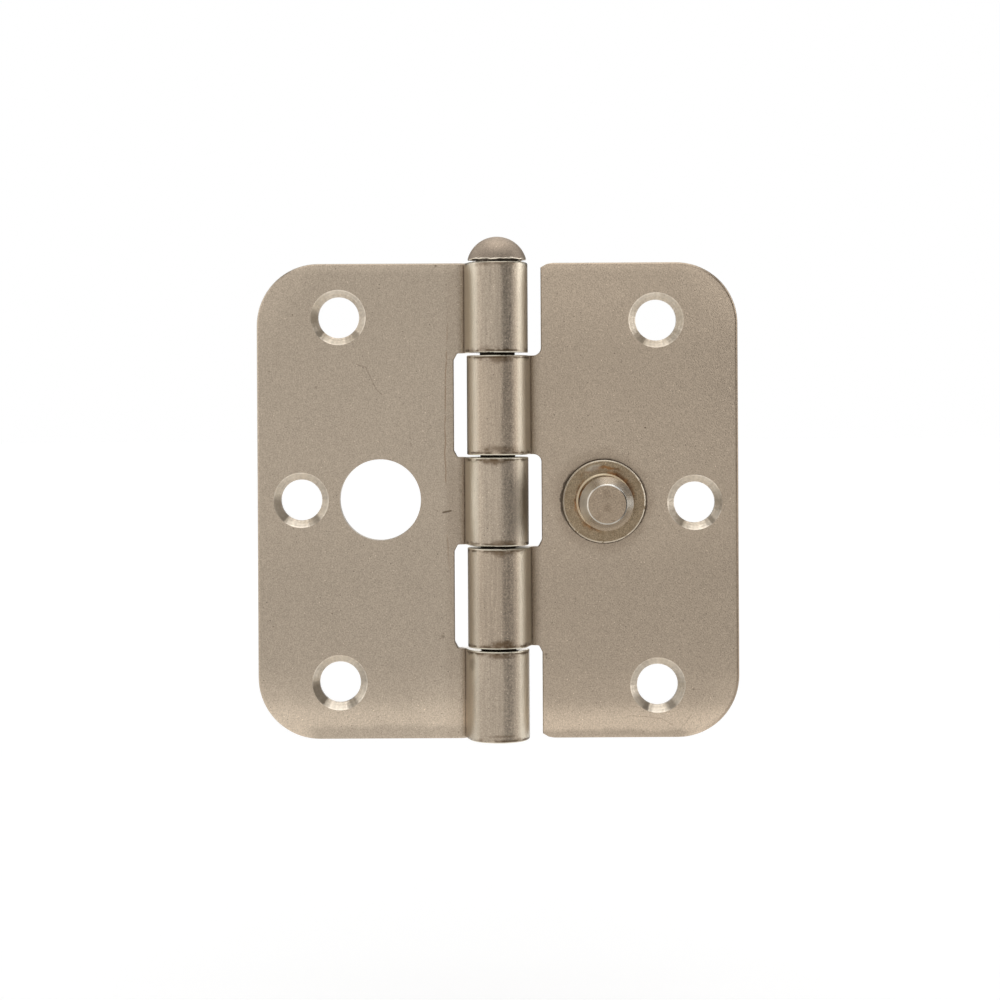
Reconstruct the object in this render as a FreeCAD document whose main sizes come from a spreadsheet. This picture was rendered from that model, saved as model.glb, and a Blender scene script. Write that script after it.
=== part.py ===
"""Loose pin butt hinge with a security stud, 89 x 89 mm, opened flat.

Frame: +Z runs up along the hinge pin. The origin is on the pin's axis, level with the bottom edge of the
leaves. The countersunk faces look toward -Y. The frame leaf reaches toward -X and the door leaf toward +X.
"""
import FreeCAD
import Part
import math
import os
import Sketcher

# Driving dimensions in millimetres and degrees
SIZES = (
    ("leaf_height", 88.5, "height of both leaves along the pin"),
    ("leaf_reach", 44.8, "pin axis to the outer edge of a leaf"),
    ("sheet_thick", 2.4, "thickness of the sheet"),
    ("leaf_gap", 2.0, "gap between the leaves when the hinge is shut"),
    ("corner_round", 11.5, "radius of the outer corners"),
    ("edge_round", 0.5, "rounding of the leaves' outer edges"),
    ("notch_edge_round", 0.2, "rounding of the edges in the notches and at the knuckles' facing ends"),
    ("pin_dia", 6.5, "diameter of the pin's shank"),
    ("pin_clear", 0.05, "clearance between the shank and the knuckles, all round"),
    ("crank_angle", 20.0, "slope of the cranked neck between leaf and knuckle"),
    ("bend_radius", 1.5, "inside radius of the crank's bend"),
    ("tail_angle", 15.0, "angle before the barrel's side where the roll stops bending and runs on straight"),
    ("seam_gap", 0.15, "gap left between the end of the roll and the neck"),
    ("end_knuckle", 16.8, "length of the frame leaf's upper and lower knuckles"),
    ("middle_knuckle", 16.3, "length of the frame leaf's middle knuckle"),
    ("knuckle_gap", 0.45, "gap between neighbouring knuckles"),
    ("notch_reach", 8.15, "pin axis to the edge of the notches between the knuckles"),
    ("corner_cut_wide", 0.65, "width of the slanted inner corners of the notches"),
    ("corner_cut_tall", 1.25, "height of those slanted corners"),
    ("corner_cut_round", 0.4, "radius where those slants meet the notch's sides"),
    ("corner_bow", 1.5, "radius of the notch corners that are rounded instead of slanted"),
    ("tip_cut_wide", 2.3, "width of the slanted corners of the door leaf beside the end knuckles"),
    ("tip_cut_tall", 0.85, "height of those slanted corners"),
    ("screw_dia", 7.65, "diameter of the screw holes"),
    ("sink_dia", 10.3, "diameter of the countersinks at the surface"),
    ("sink_angle", 90.0, "angle of the countersinks"),
    ("screw_inset", 15.2, "outer edge of a leaf to the upper and lower screw holes"),
    ("screw_rise", 34.0, "middle of the hole row to the upper and lower screw holes"),
    ("mid_screw_inset", 8.15, "outer edge of a leaf to the middle screw hole"),
    ("frame_row_lift", 0.25, "middle of the frame leaf's row of holes above mid height"),
    ("door_row_drop", 0.5, "middle of the door leaf's row of screw holes below mid height"),
    ("stud_hole_dia", 15.1, "diameter of the round hole that receives the stud"),
    ("stud_hole_reach", 21.9, "pin axis to the centre of that hole"),
    ("stud_reach", 20.0, "pin axis to the stud"),
    ("stud_drop", 0.5, "stud below mid height"),
    ("stud_dia", 10.0, "diameter of the stud's body where it is widest"),
    ("stud_foot_dia", 8.4, "diameter of the stud's body at its foot"),
    ("stud_height", 6.5, "tip of the stud above the leaf's face"),
    ("stud_tip_dia", 7.3, "diameter of the stud's flat tip"),
    ("stud_taper", 2.2, "height of the stud's tapered end"),
    ("stud_tip_round", 0.25, "rounding around the flat tip"),
    ("shank_dia", 7.2, "diameter of the stud's riveted shank"),
    ("rivet_dia", 9.2, "diameter of the riveted head in the back of the leaf"),
    ("rivet_angle", 90.0, "angle of the riveted head's seat"),
    ("shank_clear", 0.05, "clearance around the shank in the leaf and collar"),
    ("collar_dia", 15.4, "outer diameter of the stud's collar"),
    ("collar_shift", 0.3, "collar off the stud's axis, as far towards the pin as upwards"),
    ("collar_thick", 1.2, "thickness of the collar"),
    ("collar_bevel", 0.18, "bevel along the collar's outer edge"),
    ("collar_seat", 0.35, "depth at which the stud's shoulder sits in the collar"),
    ("lip_gap", 0.19, "least gap between the stud's foot and the collar's raised lip"),
    ("lip_wide", 0.32, "width of the raised lip"),
    ("lip_height", 0.14, "height of the raised lip above the collar"),
    ("head_dia", 10.8, "diameter of the pin's domed head"),
    ("head_height", 4.3, "height of the head, rim included"),
    ("head_rim", 0.25, "height of the straight rim under the dome"),
    ("neck_dia", 7.6, "diameter of the neck ring that the head stands on"),
    ("neck_height", 0.5, "height of the neck ring"),
    ("pin_recess", 1.2, "lower end of the pin above the bottom of the knuckle"),
    ("pin_chamfer", 0.8, "chamfer at the lower end of the pin"),
)

document = FreeCAD.newDocument("loose_pin_butt_hinge")

# The spreadsheet that every sketch and feature reads
sizes = document.addObject("Spreadsheet::Sheet", "Sizes")
for row, (alias, number, note) in enumerate(SIZES, start=1):
    sizes.set(f"A{row}", note)
    sizes.set(f"B{row}", str(number))
    sizes.setAlias(f"B{row}", alias)
document.recompute()

# How far a cut runs past the edge that it opens
OVERSHOOT = "1"

# Sizes that follow from the driving ones, as expressions for sketches and features
FRONT = "(Sizes.leaf_gap / 2)"
BACK = "(Sizes.leaf_gap / 2 + Sizes.sheet_thick)"
BORE = "(Sizes.pin_dia / 2 + Sizes.pin_clear)"
BARREL = "(Sizes.pin_dia / 2 + Sizes.pin_clear + Sizes.sheet_thick)"
MIDDLE = "(Sizes.leaf_height / 2)"
END_NOTCH = "(Sizes.end_knuckle + Sizes.knuckle_gap)"
MIDDLE_NOTCH_START = f"({MIDDLE} - Sizes.middle_knuckle / 2 - Sizes.knuckle_gap)"
MIDDLE_NOTCH_END = f"({MIDDLE} + Sizes.middle_knuckle / 2 + Sizes.knuckle_gap)"
MIDDLE_KNUCKLE_START = f"({MIDDLE} - Sizes.middle_knuckle / 2)"
STUD_RISE = f"({MIDDLE} - Sizes.stud_drop)"
SCREW_REACH = "(Sizes.leaf_reach - Sizes.screw_inset)"
MID_SCREW_REACH = "(Sizes.leaf_reach - Sizes.mid_screw_inset)"
CORNER_CUT_ROUND = "Sizes.corner_cut_round"
TIP_BEND = ("Sizes.notch_reach + Sizes.tip_cut_wide * 0.45", "Sizes.tip_cut_tall * 0.3")
BARREL_SIDE = f"-{BARREL} - {OVERSHOOT}"
SHANK_HOLE = "(Sizes.shank_dia / 2 + Sizes.shank_clear)"
RIVET_TALL = "((Sizes.rivet_dia - Sizes.shank_dia) / 2 / tan(Sizes.rivet_angle / 2 * 1 deg))"
STUD_SEAT = "(Sizes.collar_thick - Sizes.collar_seat)"
COLLAR_OFFSET = "(Sizes.collar_shift * sqrt(2))"
COLLAR_BORE = f"({SHANK_HOLE} + {COLLAR_OFFSET})"
LIP_INSIDE = f"(Sizes.stud_foot_dia / 2 + {COLLAR_OFFSET} + Sizes.lip_gap)"
HEAD_FOOT = "(Sizes.leaf_height + Sizes.neck_height)"

THROUGH_ALL = 1
SMALL = 1e-6


def value(expression):
    """The number that an expression gives, from the spreadsheet's present values."""
    result = sizes.evalExpression(expression)
    return float(getattr(result, "Value", result))


def new_body(label):
    body = document.addObject("PartDesign::Body", label)
    body.Label = label
    return body


def new_sketch(body, name, role, normal_offset=None):
    """A sketch on one of the body's own origin planes, shifted along that plane's normal."""
    plane = next(item for item in body.Origin.OriginFeatures if item.Role == role)
    sketch = body.newObject("Sketcher::SketchObject", name)
    sketch.AttachmentSupport = [(plane, "")]
    sketch.MapMode = "FlatFace"
    if normal_offset:
        sketch.setExpression("AttachmentOffset.Base.z", normal_offset)
    return sketch


def bind(sketch, kind, references, expression):
    """A dimension of the sketch, tied to the spreadsheet."""
    number = value(expression)
    if kind == "Angle":
        number = math.radians(number)
    index = sketch.addConstraint(Sketcher.Constraint(kind, *references, number))
    sketch.setExpression(f"Constraints[{index}]", expression)


def join(sketch, kind, joints):
    """Coincident or tangent ends: each joint is a side, its end, the next side and its end."""
    for joint in joints:
        sketch.addConstraint(Sketcher.Constraint(kind, *joint))


def add_line(sketch, start, end):
    return sketch.addGeometry(Part.LineSegment(FreeCAD.Vector(*start, 0), FreeCAD.Vector(*end, 0)))


def add_arc(sketch, centre, radius, start_angle, end_angle):
    circle = Part.Circle(FreeCAD.Vector(*centre, 0), FreeCAD.Vector(0, 0, 1), radius)
    return sketch.addGeometry(Part.ArcOfCircle(circle, math.radians(start_angle), math.radians(end_angle)))


def add_feature(body, kind, name, sketch, **properties):
    feature = body.newObject(kind, name)
    feature.Profile = sketch
    for key, setting in properties.items():
        setattr(feature, key, setting)
    return feature


def edges_where(feature, test):
    """Names of the feature's edges that pass a test."""
    return [f"Edge{number}" for number, edge in enumerate(feature.Shape.Edges, start=1) if test(edge)]


def round_edges(body, name, test, radius):
    """A fillet on the edges of the body's newest feature that pass a test."""
    document.recompute()
    base = body.Tip
    fillet = body.newObject("PartDesign::Fillet", name)
    fillet.Base = (base, edges_where(base, test))
    fillet.setExpression("Radius", radius)
    document.recompute()


def leaf_section(body):
    """The leaf's section across the pin: flat leaf, crank, and the roll around the pin, as one folded sheet.

    The neck slopes back from the leaf and meets the roll at a tangent behind the pin. The roll runs round
    the front, straightens out just before the side of the barrel, and its outer corner nearly touches the
    neck again.
    """
    sketch = new_sketch(body, "section", "XY_Plane")
    slope = value("Sizes.crank_angle")
    rise = (math.sin(math.radians(slope)), math.cos(math.radians(slope)))
    bore = value(BORE)
    barrel = value(BARREL)
    bend_in = value("Sizes.bend_radius")
    bend_out = value("Sizes.bend_radius + Sizes.sheet_thick")
    bend_y = value(BACK) + bend_in
    bend_x = (barrel + bend_in - bend_y * rise[1]) / rise[0]
    reach = value("Sizes.leaf_reach")
    seam = value("Sizes.seam_gap")
    tail_turn = math.radians(value("Sizes.tail_angle"))
    side = (math.cos(tail_turn), -math.sin(tail_turn))
    along = (math.sin(tail_turn), math.cos(tail_turn))
    side_depth = barrel * (side[0] * rise[0] + side[1] * rise[1])
    tail = (bore - seam - side_depth) / (along[0] * rise[0] + along[1] * rise[1])
    outer_corner = (barrel * side[0] + tail * along[0], barrel * side[1] + tail * along[1])
    inner_corner = (bore * side[0] + tail * along[0], bore * side[1] + tail * along[1])
    start = 90.0 - slope
    end = 360.0 - value("Sizes.tail_angle")

    back_line = add_line(sketch, (reach, value(BACK)), (bend_x, value(BACK)))
    back_bend = add_arc(sketch, (bend_x, bend_y), bend_in, 270 - slope, 270)
    back_neck = add_line(
        sketch,
        (bend_x - bend_in * rise[0], bend_y - bend_in * rise[1]),
        (barrel * rise[0], barrel * rise[1]),
    )
    outer_roll = add_arc(sketch, (0, 0), barrel, start, end)
    outer_tail = add_line(sketch, (barrel * side[0], barrel * side[1]), outer_corner)
    roll_end = add_line(sketch, outer_corner, inner_corner)
    inner_tail = add_line(sketch, inner_corner, (bore * side[0], bore * side[1]))
    inner_roll = add_arc(sketch, (0, 0), bore, start, end)
    front_neck = add_line(
        sketch,
        (bore * rise[0], bore * rise[1]),
        (bend_x - bend_out * rise[0], bend_y - bend_out * rise[1]),
    )
    front_bend = add_arc(sketch, (bend_x, bend_y), bend_out, 270 - slope, 270)
    front_line = add_line(sketch, (bend_x, value(FRONT)), (reach, value(FRONT)))
    outer_edge = add_line(sketch, (reach, value(FRONT)), (reach, value(BACK)))

    join(sketch, "Tangent", (
        (back_line, 2, back_bend, 2),
        (back_bend, 1, back_neck, 1),
        (back_neck, 2, outer_roll, 1),
        (outer_roll, 2, outer_tail, 1),
        (inner_tail, 2, inner_roll, 2),
        (inner_roll, 1, front_neck, 1),
        (front_neck, 2, front_bend, 1),
        (front_bend, 2, front_line, 1),
    ))
    join(sketch, "Coincident", (
        (outer_tail, 2, roll_end, 1),
        (roll_end, 2, inner_tail, 1),
        (front_line, 2, outer_edge, 1),
        (outer_edge, 2, back_line, 1),
        (outer_roll, 3, -1, 1),
        (inner_roll, 3, -1, 1),
        (front_bend, 3, back_bend, 3),
    ))
    sketch.addConstraint(Sketcher.Constraint("Perpendicular", outer_tail, roll_end))
    sketch.addConstraint(Sketcher.Constraint("Parallel", outer_tail, inner_tail))
    sketch.addConstraint(Sketcher.Constraint("Horizontal", back_line))
    sketch.addConstraint(Sketcher.Constraint("Horizontal", front_line))
    sketch.addConstraint(Sketcher.Constraint("Vertical", outer_edge))
    bind(sketch, "Radius", (inner_roll,), BORE)
    bind(sketch, "Radius", (outer_roll,), BARREL)
    bind(sketch, "Radius", (back_bend,), "Sizes.bend_radius")
    bind(sketch, "Radius", (front_bend,), "Sizes.bend_radius + Sizes.sheet_thick")
    bind(sketch, "DistanceY", (-1, 1, back_line, 1), BACK)
    bind(sketch, "DistanceX", (-1, 1, back_line, 1), "Sizes.leaf_reach")
    bind(sketch, "Distance", (outer_tail, 2, front_neck), "Sizes.seam_gap")
    bind(sketch, "Angle", (back_neck,), "(180 - Sizes.crank_angle) * 1 deg")
    bind(sketch, "Angle", (outer_tail,), "(90 - Sizes.tail_angle) * 1 deg")
    return sketch


def outline(sketch, corners):
    """A closed outline, anticlockwise, through corners that are measured from the sketch's origin.

    A corner is its two coordinates and, where it is rounded, its radius, all as expressions.
    """
    places = [FreeCAD.Vector(value(corner[0]), value(corner[1]), 0) for corner in corners]
    count = len(corners)
    arrivals = []
    departures = []
    arcs = []
    for index, corner in enumerate(corners):
        place = places[index]
        if len(corner) == 2:
            arrivals.append(place)
            departures.append(place)
            arcs.append(None)
            continue
        back = (places[index - 1] - place).normalize()
        ahead = (places[(index + 1) % count] - place).normalize()
        half = back.getAngle(ahead) / 2
        radius = value(corner[2])
        arrivals.append(place + back * (radius / math.tan(half)))
        departures.append(place + ahead * (radius / math.tan(half)))
        centre = place + (back + ahead).normalize() * (radius / math.sin(half))
        ends = (arrivals[-1] - centre, departures[-1] - centre)
        angles = [math.degrees(math.atan2(end.y, end.x)) for end in ends]
        arcs.append(add_arc(sketch, (centre.x, centre.y), radius, *angles))

    sides = []
    for leave, arrive in zip(departures[-1:] + departures[:-1], arrivals):
        sides.append(add_line(sketch, (leave.x, leave.y), (arrive.x, arrive.y)))
    for index, corner in enumerate(corners):
        arriving = sides[index]
        leaving = sides[(index + 1) % count]
        if arcs[index] is None:
            join(sketch, "Coincident", ((arriving, 2, leaving, 1),))
            bind(sketch, "DistanceX", (-1, 1, arriving, 2), corner[0])
            bind(sketch, "DistanceY", (-1, 1, arriving, 2), corner[1])
            continue
        join(sketch, "Tangent", ((arriving, 2, arcs[index], 1), (arcs[index], 2, leaving, 1)))
        point = sketch.addGeometry(Part.Point(places[index]), True)
        sketch.addConstraint(Sketcher.Constraint("PointOnObject", point, 1, arriving))
        sketch.addConstraint(Sketcher.Constraint("PointOnObject", point, 1, leaving))
        bind(sketch, "DistanceX", (-1, 1, point, 1), corner[0])
        bind(sketch, "DistanceY", (-1, 1, point, 1), corner[1])
        bind(sketch, "Radius", (arcs[index],), corner[2])


def cut_notches(body, outlines):
    """The notches that make room for the other leaf's knuckles, cut square through the roll and the neck."""
    sketch = new_sketch(body, "notches", "XZ_Plane")
    for corners in outlines:
        outline(sketch, corners)
    add_feature(body, "PartDesign::Pocket", "notch_cut", sketch, Type=THROUGH_ALL, Midplane=True)


def slanted_corner(end, inward):
    """A slanted inner corner at one end of a notch. Inward is + or -, the way into the notch from there."""
    return (
        ("Sizes.notch_reach - Sizes.corner_cut_wide", end, CORNER_CUT_ROUND),
        ("Sizes.notch_reach", f"{end} {inward} Sizes.corner_cut_tall", CORNER_CUT_ROUND),
    )


def rounded_corner(end):
    """A rounded inner corner at one end of a notch."""
    return (("Sizes.notch_reach", end, "Sizes.corner_bow"),)


def notch(bottom, top, upper_corner):
    """A notch between two knuckles, slanted in its lower inner corner."""
    return (
        (BARREL_SIDE, bottom),
        *slanted_corner(bottom, "+"),
        *upper_corner,
        (BARREL_SIDE, top),
    )


def end_notch(inner_corner):
    """The notch at the lower end of the leaf, whose free corner there is slanted off in two steps."""
    overshoot_wide = f"Sizes.tip_cut_wide * 0.55 * {OVERSHOOT} / (Sizes.tip_cut_tall * 0.3)"
    return (
        (BARREL_SIDE, f"-{OVERSHOOT}"),
        (f"Sizes.notch_reach + Sizes.tip_cut_wide + {overshoot_wide}", f"-{OVERSHOOT}"),
        TIP_BEND,
        ("Sizes.notch_reach", "Sizes.tip_cut_tall"),
        *inner_corner,
        (BARREL_SIDE, END_NOTCH),
    )


def turned_over(corners):
    """The same outline at the leaf's upper end, still anticlockwise."""
    return tuple(
        (reach, f"Sizes.leaf_height - ({height})", *radius) for reach, height, *radius in reversed(corners)
    )


def runs_along_y(edge, reach):
    """True for a straight edge through the sheet at this distance from the pin's axis."""
    if len(edge.Vertexes) != 2:
        return False
    low, high = (vertex.Point for vertex in edge.Vertexes)
    straight = abs(low.x - high.x) < SMALL and abs(low.z - high.z) < SMALL
    return straight and abs(low.x - reach) < SMALL


def hole_circles(sketch, places):
    """Circles at the given distances from the pin's axis and heights; each diameter is an expression too."""
    for reach, height, diameter in places:
        centre = FreeCAD.Vector(value(reach), value(height), 0)
        circle = Part.Circle(centre, FreeCAD.Vector(0, 0, 1), value(diameter) / 2)
        index = sketch.addGeometry(circle)
        bind(sketch, "DistanceX", (-1, 1, index, 3), reach)
        bind(sketch, "DistanceY", (-1, 1, index, 3), height)
        bind(sketch, "Diameter", (index,), diameter)


def drill(body, name, sketch, diameter, sink_diameter, sink_angle, from_back=False):
    """Countersunk through holes at the sketch's circles."""
    document.recompute()
    hole = add_feature(body, "PartDesign::Hole", name, sketch)
    hole.Reversed = from_back
    hole.ThreadType = 0
    hole.DepthType = "ThroughAll"
    hole.HoleCutType = "Countersink"
    hole.HoleCutCustomValues = True
    hole.setExpression("Diameter", diameter)
    hole.setExpression("HoleCutDiameter", sink_diameter)
    hole.setExpression("HoleCutCountersinkAngle", sink_angle)
    document.recompute()


def drill_screw_holes(body, row_middle):
    """Three screw holes in the leaf, countersunk from the front face."""
    sketch = new_sketch(body, "screw_places", "XZ_Plane", f"-{FRONT}")
    hole_circles(sketch, (
        (SCREW_REACH, f"{row_middle} + Sizes.screw_rise", "Sizes.screw_dia"),
        (MID_SCREW_REACH, row_middle, "Sizes.screw_dia"),
        (SCREW_REACH, f"{row_middle} - Sizes.screw_rise", "Sizes.screw_dia"),
    ))
    drill(body, "screw_holes", sketch, "Sizes.screw_dia", "Sizes.sink_dia", "Sizes.sink_angle")


def is_cut_wall(face):
    """True for a wall cut through the sheet by the blanking tool, flat or a rounded corner."""
    surface = face.Surface
    if isinstance(surface, Part.Plane):
        return abs(surface.Axis.y) < SMALL
    return isinstance(surface, Part.Cylinder) and abs(surface.Axis.y) > 1 - SMALL


def is_sheet_face(face):
    """True for the sheet's own front and back, flat, bent or rolled, but not the end of the roll.

    The flat ones all lie at one of the sheet's own distances from the pin's axis.
    """
    surface = face.Surface
    if isinstance(surface, Part.Plane):
        distance = abs(surface.Axis.dot(surface.Position))
        return any(abs(distance - value(size)) < SMALL for size in (FRONT, BACK, BORE, BARREL))
    return isinstance(surface, Part.Cylinder) and abs(surface.Axis.z) > 1 - SMALL


def round_cut_edges(body, name, radius, in_notch):
    """Tumbled edges between the cut walls and the sheet's faces: those in the notches, or all others."""
    document.recompute()
    shape = body.Tip.Shape
    height = value("Sizes.leaf_height")
    notch_side = value("Sizes.notch_reach + Sizes.tip_cut_wide")

    def picked(edge):
        faces = shape.ancestorsOfType(edge, Part.Face)
        if not any(is_cut_wall(face) for face in faces):
            return False
        if not any(is_sheet_face(face) and not is_cut_wall(face) for face in faces):
            return False
        middle = edge.CenterOfMass
        inside = SMALL < middle.z < height - SMALL and middle.x < notch_side
        return inside == in_notch

    round_edges(body, name, picked, f"min({radius}; Sizes.sheet_thick * 0.45)")


def make_leaf(label, notches, row_middle):
    """A leaf on the +X side of the pin: folded sheet, notches, rounded corners and edges, screw holes."""
    body = new_body(label)
    pad = add_feature(body, "PartDesign::Pad", "folded_sheet", leaf_section(body))
    pad.setExpression("Length", "Sizes.leaf_height")
    cut_notches(body, notches)
    leaf_reach = value("Sizes.leaf_reach")
    round_edges(body, "outer_corners", lambda edge: runs_along_y(edge, leaf_reach), "Sizes.corner_round")
    round_cut_edges(body, "tumbled_outer_edges", "Sizes.edge_round", False)
    round_cut_edges(body, "tumbled_notch_edges", "Sizes.notch_edge_round", True)
    drill_screw_holes(body, row_middle)
    return body


def turned_outline(body, name, points, dome=None):
    """Half the section of a turned piece, in the XZ plane with the piece's axis along Z.

    Each point is a radius and a height, as expressions. The side that starts at point number dome, where one
    is given, is an arc whose centre is on the axis.
    """
    sketch = new_sketch(body, name, "XZ_Plane")
    places = [(value(radius), value(height)) for radius, height in points]
    count = len(places)
    sides = []
    for index, (start, end) in enumerate(zip(places, places[1:] + places[:1])):
        if index == dome:
            rise = end[1] - start[1]
            radius = (start[0] ** 2 + rise ** 2) / (2 * rise)
            start_angle = math.degrees(math.atan2(start[1] - end[1] + radius, start[0]))
            sides.append(add_arc(sketch, (0, end[1] - radius), radius, start_angle, 90))
            sketch.addConstraint(Sketcher.Constraint("PointOnObject", sides[-1], 3, -2))
        else:
            sides.append(add_line(sketch, start, end))
    for index in range(count):
        join(sketch, "Coincident", ((sides[index], 2, sides[(index + 1) % count], 1),))
    for side, (radius, height), (radius_now, height_now) in zip(sides, points, places):
        if radius_now == 0:
            sketch.addConstraint(Sketcher.Constraint("PointOnObject", side, 1, -2))
        else:
            bind(sketch, "DistanceX", (-1, 1, side, 1), radius)
        if height_now == 0:
            sketch.addConstraint(Sketcher.Constraint("PointOnObject", side, 1, -1))
        else:
            bind(sketch, "DistanceY", (-1, 1, side, 1), height)
    return sketch


def turn(body, points, dome=None):
    """A turned piece: its outline revolved about the piece's own axis."""
    sketch = turned_outline(body, "outline", points, dome)
    revolution = add_feature(body, "PartDesign::Revolution", "turned", sketch, Angle=360)
    revolution.ReferenceAxis = (sketch, ["V_Axis"])
    document.recompute()


def is_circle(edge, radius, height):
    curve = edge.Curve
    if not isinstance(curve, Part.Circle):
        return False
    return abs(curve.Radius - radius) < SMALL and abs(curve.Center.z - height) < SMALL


upper_slant = slanted_corner(MIDDLE_KNUCKLE_START, "-")[::-1]
knuckle_notch = notch("Sizes.end_knuckle", MIDDLE_KNUCKLE_START, upper_slant)
frame_leaf = make_leaf(
    "frame_leaf",
    (knuckle_notch, turned_over(knuckle_notch)),
    f"{MIDDLE} - Sizes.frame_row_lift",
)
door_leaf = make_leaf(
    "door_leaf",
    (
        end_notch(slanted_corner(END_NOTCH, "-")[::-1]),
        notch(MIDDLE_NOTCH_START, MIDDLE_NOTCH_END, rounded_corner(MIDDLE_NOTCH_END)),
        turned_over(end_notch(rounded_corner(END_NOTCH))),
    ),
    f"{MIDDLE} - Sizes.door_row_drop",
)


def cut_stud_hole(body):
    """The large round hole of the frame leaf, which takes the stud as the hinge shuts."""
    sketch = new_sketch(body, "stud_hole_place", "XZ_Plane")
    height = f"{MIDDLE} - Sizes.frame_row_lift"
    hole_circles(sketch, (("Sizes.stud_hole_reach", height, "Sizes.stud_hole_dia"),))
    add_feature(body, "PartDesign::Pocket", "stud_hole", sketch, Type=THROUGH_ALL, Midplane=True)


def cut_rivet_hole(body):
    """The door leaf's hole for the stud's shank, countersunk from the back for the riveted head."""
    sketch = new_sketch(body, "rivet_place", "XZ_Plane", f"-{BACK}")
    diameter = f"{SHANK_HOLE} * 2"
    hole_circles(sketch, (("Sizes.stud_reach", STUD_RISE, diameter),))
    drill(body, "rivet_hole", sketch, diameter, "Sizes.rivet_dia", "Sizes.rivet_angle", from_back=True)


cut_stud_hole(frame_leaf)
cut_rivet_hole(door_leaf)

# The frame leaf is the same kind of blank turned over about the Y axis, so it reaches toward -X
frame_leaf.Placement = FreeCAD.Placement(
    FreeCAD.Vector(0, 0, value("Sizes.leaf_height")), FreeCAD.Rotation(FreeCAD.Vector(0, 1, 0), 180),
)
frame_leaf.setExpression("Placement.Base.z", "Sizes.leaf_height")

# The loose pin: chamfered lower end, straight shank, neck ring and domed head
hinge_pin = new_body("hinge_pin")
turn(hinge_pin, (
    ("0", "Sizes.pin_recess"),
    ("Sizes.pin_dia / 2 - Sizes.pin_chamfer", "Sizes.pin_recess"),
    ("Sizes.pin_dia / 2", "Sizes.pin_recess + Sizes.pin_chamfer"),
    ("Sizes.pin_dia / 2", "Sizes.leaf_height"),
    ("Sizes.neck_dia / 2", "Sizes.leaf_height"),
    ("Sizes.neck_dia / 2", HEAD_FOOT),
    ("Sizes.head_dia / 2", HEAD_FOOT),
    ("Sizes.head_dia / 2", f"{HEAD_FOOT} + Sizes.head_rim"),
    ("0", f"{HEAD_FOOT} + Sizes.head_height"),
), dome=7)

def stand_on_leaf(body, reach, rise):
    """Put a turned piece on the front face of the door leaf, with its own axis pointing out of that face."""
    foot = FreeCAD.Vector(value(reach), value(FRONT), value(rise))
    body.Placement = FreeCAD.Placement(foot, FreeCAD.Rotation(FreeCAD.Vector(1, 0, 0), 90))
    body.setExpression("Placement.Base.x", reach)
    body.setExpression("Placement.Base.y", FRONT)
    body.setExpression("Placement.Base.z", rise)


# The security stud: riveted head in the back of the leaf, shank, body on its shoulder, tapered end
security_stud = new_body("security_stud")
turn(security_stud, (
    ("0", "-Sizes.sheet_thick"),
    ("Sizes.rivet_dia / 2", "-Sizes.sheet_thick"),
    ("Sizes.shank_dia / 2", f"-Sizes.sheet_thick + {RIVET_TALL}"),
    ("Sizes.shank_dia / 2", STUD_SEAT),
    ("Sizes.stud_foot_dia / 2", STUD_SEAT),
    ("Sizes.stud_dia / 2", "Sizes.stud_height - Sizes.stud_taper"),
    ("Sizes.stud_tip_dia / 2", "Sizes.stud_height"),
    ("0", "Sizes.stud_height"),
))
round_edges(
    security_stud,
    "tip_edge",
    lambda edge: is_circle(edge, value("Sizes.stud_tip_dia / 2"), value("Sizes.stud_height")),
    "Sizes.stud_tip_round",
)
stand_on_leaf(security_stud, "Sizes.stud_reach", STUD_RISE)

# The collar: a flat ring under the stud's shoulder, a little off its axis, with a raised lip around the stud
stud_collar = new_body("stud_collar")
turn(stud_collar, (
    (COLLAR_BORE, "0"),
    ("Sizes.collar_dia / 2", "0"),
    ("Sizes.collar_dia / 2", "Sizes.collar_thick - Sizes.collar_bevel"),
    ("Sizes.collar_dia / 2 - Sizes.collar_bevel", "Sizes.collar_thick"),
    (f"{LIP_INSIDE} + Sizes.lip_wide", "Sizes.collar_thick"),
    (f"{LIP_INSIDE} + Sizes.lip_wide / 2", "Sizes.collar_thick + Sizes.lip_height"),
    (LIP_INSIDE, "Sizes.collar_thick + Sizes.lip_height"),
    (LIP_INSIDE, STUD_SEAT),
    (COLLAR_BORE, STUD_SEAT),
))
stand_on_leaf(stud_collar, "Sizes.stud_reach - Sizes.collar_shift", f"{STUD_RISE} + Sizes.collar_shift")

pieces = (frame_leaf, door_leaf, hinge_pin, security_stud, stud_collar)
document.recompute()

# Nothing is written unless every object is sound
for thing in document.Objects:
    if "Invalid" in thing.State or "Error" in thing.State:
        raise RuntimeError(f"{thing.Name} failed: {thing.State}")
for piece in pieces:
    if piece.Shape.isNull() or not piece.Shape.isValid() or len(piece.Shape.Solids) != 1:
        raise RuntimeError(f"{piece.Label} is not one valid solid")

os.makedirs("parts", exist_ok=True)
for piece in pieces:
    piece.Shape.exportStep(f"parts/{piece.Label}.step")
    print(f"{piece.Label}: {piece.Shape.Volume:.1f} cubic mm, {piece.Shape.BoundBox}")
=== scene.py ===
# %% [markdown]
# # A loose pin butt hinge, dressed for its picture
#
# The hinge lies opened flat and looks straight at the camera. Its solids come from the CAD model and stay
# where they are. This lesson adds what a CAD model leaves out: the tumbled grain of the steel, the bare
# cutter marks in the screw holes, the rust around the stud, and the studio that all of it mirrors.
#
# Z runs up along the pin and the camera looks along Y. The frame leaf lies on the left, toward -X, and the
# door leaf with its stud on the right. Things in the scene are measured in metres, finishes in millimetres.

# %% Load the hinge
import math

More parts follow.
